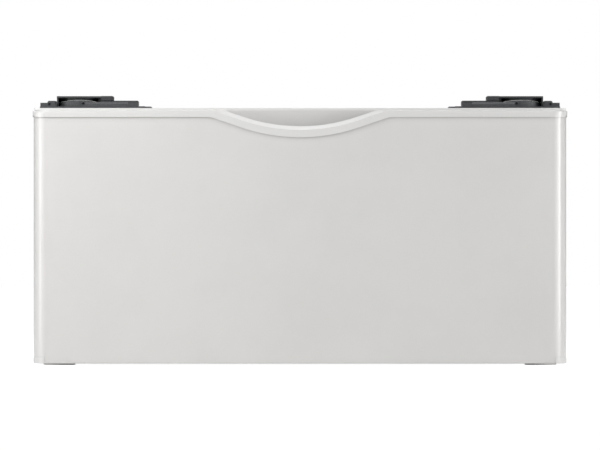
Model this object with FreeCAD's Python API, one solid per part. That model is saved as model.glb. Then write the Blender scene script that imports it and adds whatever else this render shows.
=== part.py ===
"""Washer pedestal with one wide drawer, in millimetres.

+X is to the right, the drawer opens towards -Y, +Z is up.  The origin lies on the floor,
under the middle of the pedestal.
"""
import FreeCAD, Part
import math
import os

V = FreeCAD.Vector

# ---------------------------------------------------------------------------
# Driving dimensions
# ---------------------------------------------------------------------------
# Whole pedestal
cabinet_width = 686.0
overall_depth = 716.0
body_height = 329.1          # lower edge of the drawer front to the top plate's upper face
floor_gap = 3.0              # drawer front to the floor, with the feet wound right in

# How far a cutting shape reaches past the piece it cuts
cut_margin = 20.0

# Clearances
touch_gap = 0.3              # between rigid pieces that meet but belong to moving bodies
running_gap = 0.6            # between the drawer and the cabinet's fixed faces
screw_gap = 0.2              # radial, round a screw in a plain hole
thread_gap = 0.08            # radial, round a stud in its nut

# Sheet steel
skin = 1.0                   # drawer front, side panels, back and tub
frame_sheet = 1.5            # posts, beams and rails
plate_sheet = 1.2            # top plate
plate_hem = 3.1              # folded edge of the top plate
plate_hem_width = 12.0
plate_corner_radius = 6.0
plate_edge_round = 0.8

# Drawer front
front_depth = 42.0
front_corner_radius = 20.0
front_fold_radius = 1.5
trim_proud = 1.3             # trim outside the steel at both sides
trim_face_proud = 3.2        # the same at the front
trim_height = 8.3
trim_skirt = 2.0             # how far the trim reaches down over the steel
trim_wall = 2.5
trim_round = 1.6             # rounded upper edge
lip_bevel = 4.8              # bevel that the upper edge grows into along the dip
bevel_shoulder_radius = 30.0
cap_height = 8.0
cap_reach = 14.0             # length of a corner cap along the front
cap_proud = 0.6
cap_lining = 2.0             # wall of a cap inside the steel

# Dip in the trim, as two curves of line, shoulder arc, slope, bottom arc
dip_slope = 18.8             # degrees
lower_depth = 26.1
lower_bottom_radius = 233.0
lower_shoulder_radius = 30.0
upper_depth = 20.2
upper_bottom_radius = 228.0
upper_shoulder_radius = 14.0
lip_depth = 12.0             # front to back

# Finger pocket
pocket_half_width = 106.0
pocket_reach = 20.0          # lip's rear face to the pocket's rear wall
pocket_drop = 62.0           # trim's upper face to the pocket's floor
pocket_wall = 2.4
pocket_corner_radius = 9.0

# Drawer tub
tub_past_rail = 3.0          # tub's rear face behind the end of the drawer rail
tub_low = 40.0
tub_high = 278.0
tub_hem = 5.0
tub_flange = 18.0
tub_back_hem = 8.0
floor_bead_count = 5
floor_bead_width = 16.0
floor_bead_margin = 80.0     # end of a bead to the end of the tub

# Ball slides
slide_on_post = 10.6         # length of the cabinet rail that lies on the rear post
slide_middle = 112.0         # height of the slide's centre line above the floor
rail_height = 45.0
rail_sheet = 1.2
slide_thickness = 12.7
inner_shortfall = 50.0       # the moving rails are shorter than the cabinet rail
cage_length = 200.0
cage_sheet = 0.8
ball_diameter = 3.4
ball_gap = 0.15
balls_in_row = 8
cage_web_gap = 0.5           # cage web to the rails on each side of it
rail_front_gap = 5.0         # cabinet's front edge to the slide, and cabinet rail to middle rail

# Cabinet
frame_bottom = 18.0          # underside of the base rails
side_return = 25.0           # front edge of a side panel, folded inwards
side_flange = 15.0           # its other folded edges
stop_thickness = 1.7         # rubber stops between the drawer front and the cabinet
stop_radius = 6.0
stop_edge = 25.0             # a stop's centre from the ends of the side panel
post_width = 30.0
front_post_depth = 40.0
rear_post_depth = 70.0
base_rail_width = 44.0
base_rail_height = 15.0
cross_rail_depth = 40.0
beam_set_in = 7.9            # inner edge of a beam to the inner edge of its holders
beam_height = 20.0
plate_back_from_trim = 36.0  # front edge of the top plate behind the trim's face
dish_side_gap = 42.1         # sunk middle of the top plate to the holders
dish_depth = 1.3
dish_margin = 90.0
dish_corner_radius = 12.0
back_bead_count = 4
back_bead_height = 14.0
back_bead_depth = 2.5
back_bead_margin = 70.0

# Levelling feet
foot_side_gap = 31.0         # foot's axis to the side of the pedestal
foot_set_back = 100.0        # foot's axis behind the drawer's face, and ahead of the back
stud_radius = 5.0
stud_hole_gap = 0.5          # radial, round a stud in a base rail
stud_length = 50.0
hexagon_flats = 17.0
hexagon_height = 3.2
nut_height = 4.8
pad_radius = 20.0
pad_top_radius = 13.0
pad_height = 9.0
pad_rim_height = 4.0         # upright part of the pad's edge
pad_socket_depth = 5.0

# Holders for the washer's feet; places across are measured from a holder's outer edge,
# and heights from the top plate
holder_side_gap = 7.2        # outer edge to the side of the pedestal
holder_width = 143.7
holder_flange = 2.0
holder_depth = 96.0
holder_set_back = 6.0        # behind the top plate's front edge, and ahead of its rear edge
holder_corner = 7.0
cup_place = 50.3
cup_inner_radius = 24.2
cup_wall = 2.0
cup_rim = 10.2               # at the crown of the apron in front of the cup
cup_crown_radius = 110.0
cup_edge_round = 1.2
cup_mouth = 34.0             # width of the opening in the back of the cup
cup_set_back = 4.0           # cup behind the bar
apron_depth = 10.0           # apron ahead of the cup
cup_pad_gap = 1.2            # raised disc in the cup to the cup's wall
cup_pad_rise = 0.4
hood_top = 15.5
hood_sheet = 2.3
hood_wall = 2.0
hood_depth = 62.0
hood_corner = 2.5
hood_edge_round = 1.6
hood_skirt = 3.3             # wall under the hood that follows the front of the cup
stud_slot = 16.0             # slot for the stud of the washer's foot
block_top = 15.8
block_place = 78.8
block_width = 16.0
block_set_back = 9.0
block_screw_edge = 18.0      # hood's screws to its front and rear ends
bar_place = 58.8
bar_length = 55.0
bar_set_back = 1.0
bar_depth = 10.0
bar_top = 7.8
bar_bevel = 2.4
boss_width = 5.2             # small boss with a blind hole, on the apron beside the bar
boss_set_back = 1.5
boss_top = 9.0
body_width = 31.9
body_top = 9.8
body_wall = 2.4
body_corner = 3.0
body_edge_round = 1.0
body_back_gap = 8.0          # body to the rear edge of the flange
body_screw_back = 30.0       # its screw to the rear edge of the flange
trough_back_gap = 44.0       # trough in the body to the rear edge of the flange
trough_floor = 1.5
trough_ribs = 2
rib_thickness = 1.8
rib_drop = 1.0               # ribs below the body's top
lug_place = 0.5
lug_width = 19.5
lug_low = 7.0
lug_high = 9.5
lug_step_place = 9.8
lug_depth = 34.0
lug_set_back = 8.0
lug_bevel = 1.4
lug_screw_back = 31.0        # its screw behind the holder's front edge
web_foot = 0.8               # leaning web on the lug's inner side, at its foot and at its top
web_lean = 3.0
web_thickness = 1.5
web_depth = 3.0
web_top = 8.6

# Fasteners
screw_radius = 2.0
screw_head_radius = 3.9
screw_head_height = 2.4
screw_length = 12.0
holder_screw_bite = 8.0      # length of a holder screw below the top plate's face
back_screw_edge = 30.0       # first and last screw to the ends of the back panel's edge
tub_screw_edge = 25.0        # the same on the tub's front flanges
recess_width = 0.9
recess_depth = 1.2
wafer_head_height = 1.2      # thin heads inside the slides
front_hole_radius = 1.7      # blind moulding holes in a holder's front face
front_hole_depth = 7.0
boss_hole_height = 6.0
lug_hole_place = 12.4
lug_hole_height = 5.1

# ---------------------------------------------------------------------------
# Sizes that follow from them
# ---------------------------------------------------------------------------
half_width = cabinet_width / 2
trim_front_y = -overall_depth / 2
face_y = trim_front_y + trim_face_proud
front_back_y = face_y + front_depth
cabinet_front_y = front_back_y + stop_thickness + touch_gap
back_y = overall_depth / 2 - screw_head_height
top_z = floor_gap + body_height
hem_z = top_z - plate_hem
trim_top_z = hem_z - running_gap
trim_low_z = trim_top_z - trim_height
skin_top_z = trim_low_z + trim_skirt
plate_front_y = trim_front_y + plate_back_from_trim

foot_x = half_width - foot_side_gap
side_top_z = hem_z
side_bottom_z = frame_bottom - skin
post_inner = half_width - skin - post_width
post_bottom_z = frame_bottom + frame_sheet
post_top_z = hem_z - skin
beam_top_z = top_z - plate_sheet
frame_front_y = cabinet_front_y + skin
frame_back_y = back_y - skin

slide_outer_x = post_inner
slide_front_y = cabinet_front_y + rail_front_gap
slide_length = frame_back_y - skin - rear_post_depth + slide_on_post - slide_front_y
inner_length = slide_length - inner_shortfall
tub_outer_x = slide_outer_x - slide_thickness
tub_back_y = slide_front_y + inner_length + tub_past_rail

rail_half = rail_height / 2
outer_inside = rail_half - rail_sheet
ball_room = ball_diameter + 2 * ball_gap
middle_half = outer_inside - ball_room
middle_inside = middle_half - rail_sheet
inner_half = middle_inside - ball_room
cage_room = cage_sheet + 2 * cage_web_gap

holder_outer = half_width - holder_side_gap
holder_inner = holder_outer - holder_width
cup_x = holder_outer - cup_place
block_outer = holder_outer - block_place
block_inner = block_outer - block_width
bar_outer = holder_outer - bar_place
bar_inner = bar_outer - bar_length
body_inner = block_inner - body_width
lug_outer = holder_outer - lug_place
lug_inner = lug_outer - lug_width
lug_step = holder_outer - lug_step_place
lug_hole_x = holder_outer - lug_hole_place
beam_inner = holder_inner + beam_set_in
dish_half_width = holder_inner - dish_side_gap

dish_front_y = plate_front_y + dish_margin
dish_back_y = back_y - dish_margin


# ---------------------------------------------------------------------------
# Shape helpers
# ---------------------------------------------------------------------------
def box(x, y, z):
    """A block between two limits on each axis, given in either order."""
    low = V(min(x), min(y), min(z))
    size = V(max(x), max(y), max(z)) - low
    return Part.makeBox(size.x, size.y, size.z, low)


def edges_along(shape, direction, test=None):
    """Straight edges of a shape that run along a direction, and pass a test of their middle."""
    found = []
    for edge in shape.Edges:
        ends = edge.Vertexes[-1].Point - edge.Vertexes[0].Point
        if edge.Curve.TypeId != "Part::GeomLine" or ends.cross(direction).Length > 1e-6:
            continue
        if test is None or test(edge.CenterOfMass):
            found.append(edge)
    return found


def rounded_box(x, y, z, radius, direction=V(0, 0, 1)):
    """A block whose edges along one direction are rounded."""
    block = box(x, y, z)
    return block.makeFillet(radius, edges_along(block, direction))


def cylinder(radius, start, end):
    """A round bar from one point to another."""
    axis = end - start
    return Part.makeCylinder(radius, axis.Length, start, axis)


def hexagon(flats, centre, height):
    """A six-sided prism standing on a point."""
    corner = flats / math.sqrt(3)
    points = []
    for index in range(6):
        angle = math.radians(60 * index)
        points.append(centre + V(corner * math.cos(angle), corner * math.sin(angle), 0))
    points.append(points[0])
    return Part.Face(Part.makePolygon(points)).extrude(V(0, 0, height))


def mirrored(shape, normal):
    """The shape on the other side of the pedestal's middle plane."""
    return shape.mirror(V(0, 0, 0), normal)


def both_sides(name, right_shape):
    """Write a right-hand piece and its left-hand twin."""
    save(name + "_right", right_shape)
    save(name + "_left", mirrored(right_shape, V(1, 0, 0)))


def save(name, shape):
    """Write one piece, or one group of like pieces, as its own file."""
    if not shape.isValid():
        print("not valid:", name)
    os.makedirs("parts", exist_ok=True)
    shape.exportStep("parts/" + name + ".step")
    print(f"{name:26s} {len(shape.Solids):3d} solids {shape.Volume / 1000:10.1f} cm3")


def fused(first, *others):
    """One solid from pieces that share faces or volume."""
    return first.multiFuse(list(others)).removeSplitter()


def drilled(shape, seats):
    """Clearance holes through a piece for screws that lie along Y and seat at these points."""
    for seat in seats:
        start = seat - V(0, screw_length + 1, 0)
        shape = shape.cut(cylinder(screw_radius + screw_gap, start, seat + V(0, 1, 0)))
    return shape


# ---------------------------------------------------------------------------
# Drawer front: outlines and the dip
# ---------------------------------------------------------------------------
def front_outline(grow, low_z, high_z, back=front_back_y, step=0.0):
    """Prism of the drawer front seen from above, with its two rounded front corners."""
    x = half_width + grow
    block = box((-x, x), (face_y - grow - step, back), (low_z, high_z))
    corners = edges_along(block, V(0, 0, 1), lambda middle: middle.y < face_y + front_depth / 2)
    return block.makeFillet(front_corner_radius + grow, corners)


def dip_reach(depth, bottom_radius, shoulder_radius):
    """Half the width of a dip, where its shoulders run out into the straight edge."""
    angle = math.radians(dip_slope)
    arcs = (bottom_radius + shoulder_radius) * (1 - math.cos(angle))
    slope_run = (depth - arcs) / math.tan(angle)
    return (bottom_radius + shoulder_radius) * math.sin(angle) + slope_run


def dip_wire(flat_z, depth, bottom_radius, shoulder_radius, y):
    """Outline of everything above the dip's curve, in one plane of Y."""
    angle = math.radians(dip_slope)
    reach = dip_reach(depth, bottom_radius, shoulder_radius)
    end_x = half_width + cut_margin
    low_z = flat_z - depth

    def shoulder(side, turn):
        return V(side * (reach - shoulder_radius * math.sin(turn)), y,
                 flat_z - shoulder_radius * (1 - math.cos(turn)))

    def bottom(turn):
        return V(bottom_radius * math.sin(turn), y,
                 low_z + bottom_radius * (1 - math.cos(turn)))

    start = V(-end_x, y, flat_z)
    end = V(end_x, y, flat_z)
    roof = V(0, 0, pocket_drop + cut_margin)
    edges = [
        Part.LineSegment(start, shoulder(-1, 0)).toShape(),
        Part.Arc(shoulder(-1, 0), shoulder(-1, angle / 2), shoulder(-1, angle)).toShape(),
        Part.LineSegment(shoulder(-1, angle), bottom(-angle)).toShape(),
        Part.Arc(bottom(-angle), bottom(0), bottom(angle)).toShape(),
        Part.LineSegment(bottom(angle), shoulder(1, angle)).toShape(),
        Part.Arc(shoulder(1, angle), shoulder(1, angle / 2), shoulder(1, 0)).toShape(),
        Part.LineSegment(shoulder(1, 0), end).toShape(),
        Part.LineSegment(end, end + roof).toShape(),
        Part.LineSegment(end + roof, start + roof).toShape(),
        Part.LineSegment(start + roof, start).toShape(),
    ]
    return Part.Wire(edges)


def above_dip(flat_z, depth, bottom_radius, shoulder_radius, y):
    """Everything above the dip's curve, between two planes of Y, as wide as the pedestal."""
    wire = dip_wire(flat_z, depth, bottom_radius, shoulder_radius, min(y))
    return Part.Face(wire).extrude(V(0, max(y) - min(y), 0))


def above_lower_dip(rise, y):
    """Everything above the trim's lower edge, moved up by a rise."""
    return above_dip(trim_low_z + rise, lower_depth, lower_bottom_radius,
                     lower_shoulder_radius, y)


def above_upper_dip(y):
    """Everything above the rounded lip."""
    return above_dip(trim_top_z, upper_depth, upper_bottom_radius, upper_shoulder_radius, y)


def above_lip_bevel():
    """Wedge above the bevel, which is nothing on the flats and full at the bottom of the dip."""
    depth = upper_depth + lip_bevel
    radius = upper_bottom_radius + lip_bevel
    front = dip_wire(trim_top_z, depth, radius, bevel_shoulder_radius, trim_front_y)
    rear = dip_wire(trim_top_z, upper_depth, upper_bottom_radius, upper_shoulder_radius,
                    trim_front_y + lip_bevel)
    return Part.makeLoft([front, rear], True, True)


lip_back_y = trim_front_y + lip_depth
pocket_back_y = lip_back_y + pocket_reach + pocket_wall
front_zone = (trim_front_y - cut_margin, front_back_y + cut_margin)


def corner_zone(side):
    """Block round a lower front corner of the drawer front, where a cap sits."""
    x = half_width - cap_reach
    return box((side * x, side * (half_width + cut_margin)),
               (front_zone[0], face_y + front_corner_radius), (floor_gap - 1, floor_gap + cap_height))


def drawer_front_skin():
    """Folded steel pan, open at the back and at the top."""
    outside = front_outline(0, floor_gap, skin_top_z)
    lower_edges = []
    for edge in outside.Edges:
        middle = edge.CenterOfMass
        if abs(middle.z - floor_gap) < 1e-6 and middle.y < front_back_y - 1:
            lower_edges.append(edge)
    outside = outside.makeFillet(front_fold_radius, lower_edges)
    inside = front_outline(-skin, floor_gap + skin, skin_top_z + cut_margin, front_zone[1])
    pan = outside.cut(inside)
    pan = pan.cut(above_lower_dip(trim_skirt, front_zone))
    for side in (-1, 1):
        pan = pan.cut(corner_zone(side))
    return pan


def corner_cap(side):
    """Small cap round a lower corner, lapping inside the steel."""
    low = floor_gap
    high = floor_gap + cap_height
    outside = front_outline(cap_proud, low, high)
    rim = [edge for edge in outside.Edges
           if abs(edge.CenterOfMass.z - low) < 1e-6 and edge.CenterOfMass.y < front_back_y - 1]
    outside = outside.makeFillet(cap_proud, rim)
    inside = front_outline(-skin - cap_lining, low + cap_lining, high + 1, front_zone[1])
    return outside.cut(inside).common(corner_zone(side))


def handle_trim():
    """Top moulding of the drawer front, with the lip across the finger pocket."""
    lowest = trim_low_z - lower_depth - 1
    block = front_outline(trim_proud, lowest, trim_top_z, step=trim_face_proud - trim_proud)
    block = block.common(above_lower_dip(0, front_zone))
    block = block.cut(above_upper_dip((front_zone[0], lip_back_y)))

    # The steel stands inside the skirt, and nothing hangs down behind the lip.
    inside = front_outline(0, lowest - 1, trim_top_z)
    above_steel = inside.common(above_lower_dip(trim_skirt, front_zone))
    block = block.cut(inside.cut(above_steel))
    block = block.cut(box((-half_width, half_width), (lip_back_y, front_zone[1]),
                          (lowest - 1, trim_low_z + trim_skirt)))

    rim = []
    for edge in block.Edges:
        middle = edge.CenterOfMass
        on_front = all(abs(vertex.Y - trim_front_y) < 1e-6 for vertex in edge.Vertexes)
        on_top = all(abs(vertex.Z - trim_top_z) < 1e-6 for vertex in edge.Vertexes)
        beside_pocket = abs(middle.x) > half_width - front_corner_radius
        if (on_front and above_band_middle(middle)) or \
                (on_top and beside_pocket and middle.y < front_back_y - 1):
            rim.append(edge)
    block = block.makeFillet(trim_round, rim)
    block = block.cut(above_lip_bevel())

    # Opening over the pocket.
    open_x = pocket_half_width + pocket_wall
    block = block.cut(box((-open_x, open_x), (lip_back_y, pocket_back_y),
                          (lowest - 1, trim_top_z + 1)))

    # Hollow underside of the two ends, and of the strip behind the pocket.
    far_y = front_back_y - trim_wall
    hollow_z = (lowest, trim_top_z - trim_wall)
    for side in (-1, 1):
        end_x = (side * (open_x + trim_wall), side * (half_width - front_corner_radius))
        block = block.cut(box(end_x, (lip_back_y, far_y), hollow_z))
    return block.cut(box((-open_x, open_x), (pocket_back_y + trim_wall, far_y), hollow_z))


def above_band_middle(point):
    """Whether a point of the trim's face lies nearer its upper edge than its lower one."""
    reach = dip_reach(lower_depth, lower_bottom_radius, lower_shoulder_radius)
    sag = max(0.0, 1 - abs(point.x) / reach) * (lower_depth + upper_depth) / 2
    return point.z > (trim_low_z + trim_top_z) / 2 - sag


def finger_pocket():
    """Cup behind the lip; its back wall shows through the dip."""
    outer_x = pocket_half_width + pocket_wall
    floor_z = trim_top_z - pocket_drop
    cup = box((-outer_x, outer_x), (lip_back_y - pocket_wall, pocket_back_y),
              (floor_z - pocket_wall, trim_top_z))
    hollow = rounded_box((-pocket_half_width, pocket_half_width),
                         (lip_back_y, pocket_back_y - pocket_wall),
                         (floor_z, trim_top_z + 1), pocket_corner_radius)
    cup = cup.cut(hollow)
    return cup.cut(above_lower_dip(trim_skirt, (front_zone[0], lip_back_y)))


def drawer_front_liner():
    """Flat inner sheet that closes the back of the drawer front, up to the trim."""
    x = half_width - skin
    sheet = box((-x, x), (front_back_y - skin, front_back_y), (floor_gap + skin, skin_top_z))
    return drilled(sheet, tub_screw_points())


# ---------------------------------------------------------------------------
# Drawer tub
# ---------------------------------------------------------------------------
def tub_side():
    """Right side of the tub, with a hem on top and flanges for the front, back and floor."""
    x = tub_outer_x
    wall = box((x - skin, x), (front_back_y, tub_back_y), (tub_low, tub_high))
    hem = box((x - skin, x + tub_hem), (front_back_y, tub_back_y), (tub_high - skin, tub_high))
    fold = box((x + tub_hem - skin, x + tub_hem), (front_back_y, tub_back_y),
               (tub_high - tub_hem, tub_high))
    front_flange = box((x - tub_flange, x), (front_back_y, front_back_y + skin),
                       (tub_low, tub_high))
    floor_flange = box((x - tub_flange, x), (front_back_y, tub_back_y), (tub_low, tub_low + skin))
    back_flange = box((x - tub_flange, x), (tub_back_y - skin, tub_back_y), (tub_low, tub_high))
    side = fused(wall, hem, fold, front_flange, floor_flange, back_flange)
    return drilled(side, tub_screw_points())


def tub_screw_points():
    """Seats of the screws that hold the tub to the drawer front."""
    low = tub_low + tub_screw_edge
    high = tub_high - tub_screw_edge
    points = []
    for side in (-1, 1):
        for z in (low, (low + high) / 2, high):
            points.append(V(side * (tub_outer_x - tub_flange / 2), front_back_y + skin, z))
    return points


def tub_floor():
    """Bottom sheet of the tub, lying on the side flanges."""
    x = tub_outer_x - skin
    z = tub_low + skin
    sheet = box((-x, x), (front_back_y + skin, tub_back_y - skin), (z, z + skin))
    bead_y = (front_back_y + floor_bead_margin, tub_back_y - floor_bead_margin)
    pitch = 2 * x / (floor_bead_count + 1)
    for index in range(floor_bead_count):
        bead_x = pitch * (index + 1) - x
        bead = rounded_box((bead_x - floor_bead_width / 2, bead_x + floor_bead_width / 2),
                           bead_y, (z + skin, z + 2 * skin), floor_bead_width * 0.49)
        sheet = sheet.fuse(bead)
    return sheet.removeSplitter()


def tub_back():
    """Rear wall of the tub, with a hem folded forward."""
    x = tub_outer_x - skin
    back = tub_back_y - skin
    wall = box((-x, x), (back - skin, back), (tub_low + 2 * skin, tub_high - skin))
    hem = box((-x, x), (back - tub_back_hem, back), (tub_high - 2 * skin, tub_high - skin))
    return fused(wall, hem)


# ---------------------------------------------------------------------------
# Cabinet
# ---------------------------------------------------------------------------
def side_panel():
    """Right side panel, with its front, rear, upper and lower edges folded inwards."""
    x = half_width
    y = (cabinet_front_y, frame_back_y)
    z = (side_bottom_z, side_top_z)
    outside = box((x - skin, x), y, z)
    outer_edge = [edge for edge in edges_along(outside, V(0, 0, 1))
                  if edge.CenterOfMass.x > x - skin / 2]
    outside = outside.makeFillet(skin * 0.9, outer_edge)
    front = box((x - side_return, x - skin), (y[0], y[0] + skin), z)
    rear = box((x - side_flange, x - skin), (y[1] - skin, y[1]), z)
    upper = box((x - side_flange, x - skin), y, (z[1] - skin, z[1]))
    lower = box((x - side_flange, x - skin), y, (z[0], z[0] + skin))
    return drilled(fused(outside, front, rear, upper, lower), back_screw_points())


def back_panel():
    """Rear panel with pressed beads across it."""
    x = half_width
    z = (side_bottom_z, side_top_z)
    panel = box((-x, x), (frame_back_y, back_y), z)
    pitch = (z[1] - z[0]) / (back_bead_count + 1)
    reach = x - back_bead_margin
    for index in range(back_bead_count):
        middle = z[0] + pitch * (index + 1)
        rise = back_bead_height / 2
        bump = rounded_box((-reach, reach), (frame_back_y - back_bead_depth, frame_back_y),
                           (middle - rise, middle + rise), rise * 0.98, V(0, 1, 0))
        groove = rounded_box((-reach + skin, reach - skin), (back_y - back_bead_depth, back_y + 1),
                             (middle - rise + skin, middle + rise - skin),
                             (rise - skin) * 0.98, V(0, 1, 0))
        panel = panel.fuse(bump).cut(groove)
    return drilled(panel.removeSplitter(), back_screw_points())


def back_screw_points():
    """Seats of the screws in the back panel's upright edges."""
    low = side_bottom_z + back_screw_edge
    high = side_top_z - back_screw_edge
    points = []
    for side in (-1, 1):
        for z in (low, (low + high) / 2, high):
            points.append(V(side * (half_width - side_flange / 2), back_y, z))
    return points


def top_plate():
    """Steel top with a folded edge and a shallow sunk middle."""
    x = half_width
    y = (plate_front_y, back_y)
    slab = rounded_box((-x, x), y, (hem_z, top_z), plate_corner_radius)
    slab = slab.makeFillet(plate_edge_round, [edge for edge in slab.Edges
                                              if abs(edge.CenterOfMass.z - top_z) < 1e-6])
    under = box((-x + plate_hem_width, x - plate_hem_width),
                (y[0] + plate_hem_width, y[1] - plate_hem_width), (hem_z - 1, top_z - plate_sheet))
    dish_wall = box((-dish_half_width - plate_sheet, dish_half_width + plate_sheet),
                    (dish_front_y - plate_sheet, dish_back_y + plate_sheet), (hem_z - 2, top_z))
    slab = slab.cut(under.cut(dish_wall))
    dish = rounded_box((-dish_half_width, dish_half_width), (dish_front_y, dish_back_y),
                       (top_z - dish_depth, top_z + 1), dish_corner_radius)
    return holder_drilled(slab.cut(dish))


def holder_drilled(shape):
    """Clearance holes for the upright screws of all four holders."""
    reach = V(0, 0, holder_screw_bite + beam_height)
    for point in holder_screw_points():
        shape = shape.cut(cylinder(screw_radius + screw_gap, point - reach, point + reach))
    return shape


def corner_post(rear):
    """Right-hand upright channel, open towards the middle of the side."""
    depth = rear_post_depth if rear else front_post_depth
    x = (post_inner, half_width - skin)
    if rear:
        y = (frame_back_y - skin - depth, frame_back_y - skin)
        open_end = (y[0] - 1, y[1] - frame_sheet)
    else:
        y = (frame_front_y, frame_front_y + depth)
        open_end = (y[0] + frame_sheet, y[1] + 1)
    z = (post_bottom_z, post_top_z)
    post = box(x, y, z).cut(box((x[0] + frame_sheet, x[1] - frame_sheet), open_end,
                                (z[0] - 1, z[1] + 1)))
    return rail_drilled(drilled(post, back_screw_points()))


def holder_beam():
    """Right-hand channel under the top plate, open downwards, that carries the holders."""
    x = (beam_inner, post_inner)
    y = (frame_front_y, back_y - plate_hem_width)
    z = (beam_top_z - beam_height, beam_top_z)
    beam = box(x, y, z).cut(box((x[0] + frame_sheet, x[1] - frame_sheet), (y[0] - 1, y[1] + 1),
                                (z[0] - 1, z[1] - frame_sheet)))
    return holder_drilled(beam)


def base_rail():
    """Right-hand channel at the bottom, open upwards, that carries the feet."""
    x = (half_width - skin - base_rail_width, half_width - skin)
    y = (frame_front_y, frame_back_y - skin)
    z = (frame_bottom, frame_bottom + base_rail_height)
    rail = box(x, y, z).cut(box((x[0] + frame_sheet, x[1] + 1), (y[0] - 1, y[1] + 1),
                                (z[0] + frame_sheet, z[1] + 1)))
    for foot_y in foot_places():
        hole = cylinder(stud_radius + stud_hole_gap, V(foot_x, foot_y, z[0] - 1),
                        V(foot_x, foot_y, z[1]))
        rail = rail.cut(hole)
    return rail


def base_cross_rail(rear):
    """Channel between the two base rails, open downwards."""
    x = half_width - skin - base_rail_width
    y0 = frame_back_y - cross_rail_depth if rear else frame_front_y
    y = (y0, y0 + cross_rail_depth)
    z = (frame_bottom, frame_bottom + base_rail_height)
    return box((-x, x), y, z).cut(box((-x - 1, x + 1), (y[0] + frame_sheet, y[1] - frame_sheet),
                                      (z[0] - 1, z[1] - frame_sheet)))


# ---------------------------------------------------------------------------
# Ball slides, all on the right-hand side
# ---------------------------------------------------------------------------
def channel(web_x, lip_x, half_height, sheet, y):
    """A C-shaped rail: a web at web_x and two flanges that reach to lip_x."""
    toward = 1 if lip_x > web_x else -1
    outer = box((web_x, lip_x), y, (slide_middle - half_height, slide_middle + half_height))
    inner = box((web_x + toward * sheet, lip_x + toward), (y[0] - 1, y[1] + 1),
                (slide_middle - half_height + sheet, slide_middle + half_height - sheet))
    return outer.cut(inner)


def slide_layout():
    """X of the webs and lips of the three rails and the two cages."""
    outer_web = slide_outer_x
    middle_web = outer_web - rail_sheet - cage_room
    inner_lip = middle_web - rail_sheet - cage_room
    inner_web = tub_outer_x
    return outer_web, middle_web, inner_lip, inner_web


def cabinet_rail():
    """Rail screwed to the posts."""
    outer_web, _, _, inner_web = slide_layout()
    y = (slide_front_y, slide_front_y + slide_length)
    rail = channel(outer_web, inner_web + touch_gap, rail_half, rail_sheet, y)
    return rail_drilled(rail)


def rail_screw_points():
    """Seats of the screws that hold the right-hand cabinet rail to its two posts."""
    seat_x = slide_outer_x - rail_sheet
    rear_post_y = frame_back_y - skin - rear_post_depth
    rail_end_y = slide_front_y + slide_length
    places = [frame_front_y + front_post_depth / 2, (rear_post_y + rail_end_y) / 2]
    return [V(seat_x, y, slide_middle) for y in places]


def rail_drilled(shape):
    """Clearance holes for the screws of the right-hand cabinet rail."""
    for seat in rail_screw_points():
        end = seat + V(post_width / 2, 0, 0)
        shape = shape.cut(cylinder(screw_radius + screw_gap, seat - V(1, 0, 0), end))
    return shape


def middle_rail():
    """Rail between the two rows of balls."""
    _, middle_web, _, inner_web = slide_layout()
    y = (slide_front_y + rail_front_gap, slide_front_y + rail_front_gap + inner_length)
    return channel(middle_web, inner_web + rail_sheet + touch_gap, middle_half, rail_sheet, y)


def drawer_rail():
    """Rail fixed to the side of the tub."""
    _, _, inner_lip, inner_web = slide_layout()
    y = (slide_front_y, slide_front_y + inner_length)
    return channel(inner_web, inner_lip, inner_half, rail_sheet, y)


def ball_cage(web_x, lip_x, race_half):
    """Ball cage and its balls, between a rail whose race is at race_half and the one inside."""
    middle_y = slide_front_y + inner_length / 2
    y = (middle_y - cage_length / 2, middle_y + cage_length / 2)
    row_z = race_half - ball_room / 2
    cage = channel(web_x, lip_x, row_z + cage_sheet / 2, cage_sheet, y)
    ball_x = lip_x + (web_x - lip_x) * 0.45
    balls = []
    pitch = cage_length / balls_in_row
    for index in range(balls_in_row):
        ball_y = y[0] + pitch * (index + 0.5)
        for side in (-1, 1):
            centre = V(ball_x, ball_y, slide_middle + side * row_z)
            half = V(0, 0, ball_diameter / 2)
            cage = cage.cut(cylinder(ball_diameter / 2 + ball_gap, centre - half, centre + half))
            balls.append(Part.makeSphere(ball_diameter / 2, centre))
    return cage, Part.makeCompound(balls)


# ---------------------------------------------------------------------------
# Levelling feet
# ---------------------------------------------------------------------------
def foot_places():
    """Y of the front and the rear feet."""
    return [face_y + foot_set_back, back_y - foot_set_back]


def foot_pad(x, y):
    """Round pad with a socket for the stud."""
    pad = fused(cylinder(pad_radius, V(x, y, 0), V(x, y, pad_rim_height)),
                Part.makeCone(pad_radius, pad_top_radius, pad_height - pad_rim_height,
                              V(x, y, pad_rim_height)))
    socket_z = pad_height - pad_socket_depth
    return pad.cut(cylinder(stud_radius + thread_gap, V(x, y, socket_z), V(x, y, pad_height + 1)))


def foot_stud(x, y):
    """Threaded stud with a hexagon for a spanner, turning in the pad."""
    low = pad_height - pad_socket_depth + touch_gap
    stud = cylinder(stud_radius, V(x, y, low), V(x, y, low + stud_length))
    hexagon_low = V(x, y, pad_height + touch_gap)
    return fused(stud, hexagon(hexagon_flats, hexagon_low, hexagon_height))


def foot_nuts():
    """Lock nuts under the base rails and weld nuts on top of them."""
    nuts = []
    for side in (-1, 1):
        for y in foot_places():
            for low in (frame_bottom - nut_height, frame_bottom + frame_sheet):
                base = V(side * foot_x, y, low)
                nut = hexagon(hexagon_flats, base, nut_height)
                hole = cylinder(stud_radius + thread_gap, base - V(0, 0, 1),
                                base + V(0, 0, nut_height + 1))
                nuts.append(nut.cut(hole))
    return Part.makeCompound(nuts)


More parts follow.
